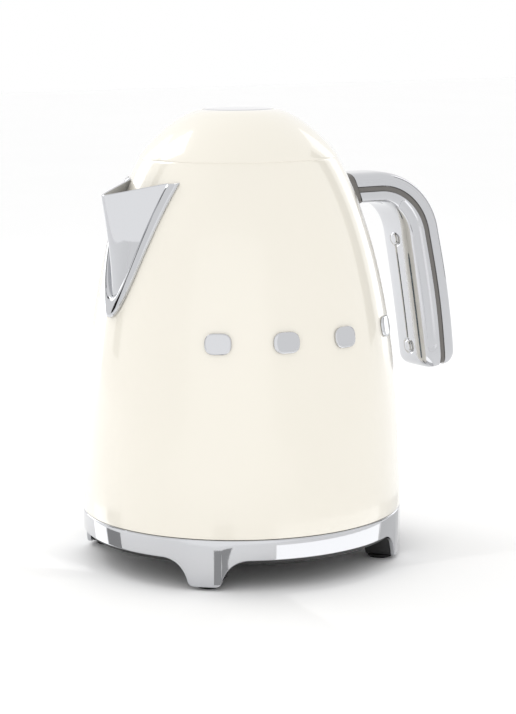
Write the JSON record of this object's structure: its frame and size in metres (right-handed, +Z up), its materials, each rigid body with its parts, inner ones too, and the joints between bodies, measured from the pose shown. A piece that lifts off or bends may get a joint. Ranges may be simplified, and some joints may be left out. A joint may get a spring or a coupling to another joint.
{
  "type": "electric kettle",
  "caption": "Rounded electric kettle with a domed push-button lid, beaked spout and open handle, on a round power base with four legs.",
  "frame": {"origin": "centre of the round base's footprint, on the table top that the four rubber pads stand on", "axes": "+Z up, along the axis that the kettle turns about on its base; +X towards the handle, so -X is the way it pours; +Y to the left of someone who holds the handle and pours"},
  "size_m": [0.2256, 0.1744, 0.2427],
  "materials": {
    "cream_paint": "glossy cream enamel on stainless steel",
    "chrome": "bright chrome plating",
    "stainless_steel": "satin stainless steel",
    "grey_plastic": "warm grey moulded plastic",
    "black_plastic": "matt black moulded plastic",
    "rubber": "matt black rubber",
    "silicone": "translucent grey silicone",
    "brass": "bare brass contact",
    "clear_plastic": "clear moulded plastic",
    "lamp_lens": "amber lens"
  },
  "bodies": {
    "base": {"base_ring": "chrome", "base_tray": "black_plastic", "base_underside_cover": "black_plastic", "socket_housing": "black_plastic", "socket_contact_ring": "brass", "socket_centre_contact": "brass", "foot_pad_1": "rubber", "foot_pad_2": "rubber", "foot_pad_3": "rubber", "foot_pad_4": "rubber", "cord_gland": "rubber"},
    "shutter": {"socket_shutter": "silicone"},
    "kettle": {"body_shell": "cream_paint", "mouth_collar": "grey_plastic", "lid_hinge_bracket": "chrome", "lid_hinge_pin": "stainless_steel", "spout": "chrome", "handle_outer_shell": "chrome", "handle_inner_shell": "chrome", "handle_core": "grey_plastic", "handle_cap_1": "chrome", "handle_cap_2": "chrome", "handle_screw_1": "stainless_steel", "handle_screw_2": "stainless_steel", "plaque_1": "chrome", "plaque_2": "chrome", "plaque_3": "chrome", "plaque_4": "chrome", "gauge_window": "clear_plastic", "gauge_gasket": "silicone", "switch_bezel": "chrome", "pilot_lamp": "lamp_lens", "steam_switch": "black_plastic", "switch_pin": "stainless_steel", "steam_tube": "silicone", "vessel_floor": "stainless_steel", "floor_seal": "silicone", "heating_element": "stainless_steel", "control_unit": "black_plastic", "bottom_cover": "black_plastic", "bottom_screw_1": "stainless_steel", "bottom_screw_2": "stainless_steel", "bottom_screw_3": "stainless_steel"},
    "filter": {"filter_frame": "grey_plastic", "filter_screen": "stainless_steel"},
    "switch": {"switch_lever": "chrome"},
    "lid": {"lid_shell": "cream_paint", "lid_inner_cover": "grey_plastic", "lid_seal": "silicone", "button_spring": "stainless_steel"},
    "button": {"lid_button": "chrome"},
    "latch": {"lid_latch": "grey_plastic"}
  },
  "joints": [
    {"name": "kettle_swivel", "type": "hinge", "parent": "base", "child": "shutter", "pos_m": [0, 0, 0.026], "axis": [0, 0, 1], "continuous": true},
    {"name": "kettle_lift", "type": "slide", "parent": "shutter", "child": "kettle", "axis": [0, 0, 1], "range_m": [0, 0.08]},
    {"name": "lid_hinge", "type": "hinge", "parent": "kettle", "child": "lid", "pos_m": [0.0548, 0, 0.2174], "axis": [0, 1, 0], "range_deg": [0, 78]},
    {"name": "lid_button_press", "type": "slide", "parent": "lid", "child": "button", "axis": [0, 0, -1], "range_m": [0, 0.003], "stiffness_N_per_m": 400, "springref_m": -0.006, "deforming": ["button_spring"]},
    {"name": "latch_slide", "type": "slide", "parent": "lid", "child": "latch", "axis": [1, 0, 0], "range_m": [0, 0.004]},
    {"name": "switch_tilt", "type": "hinge", "parent": "kettle", "child": "switch", "pos_m": [0.0782, 0, 0.0477], "axis": [0, 1, 0], "range_deg": [0, 14]},
    {"name": "filter_release", "type": "slide", "parent": "kettle", "child": "filter", "axis": [1, 0, 0], "range_m": [0, 0.03]}
  ],
  "couplings": [
    {"joint": "latch_slide", "follows": "lid_button_press", "ratio": 1.3333}
  ]
}
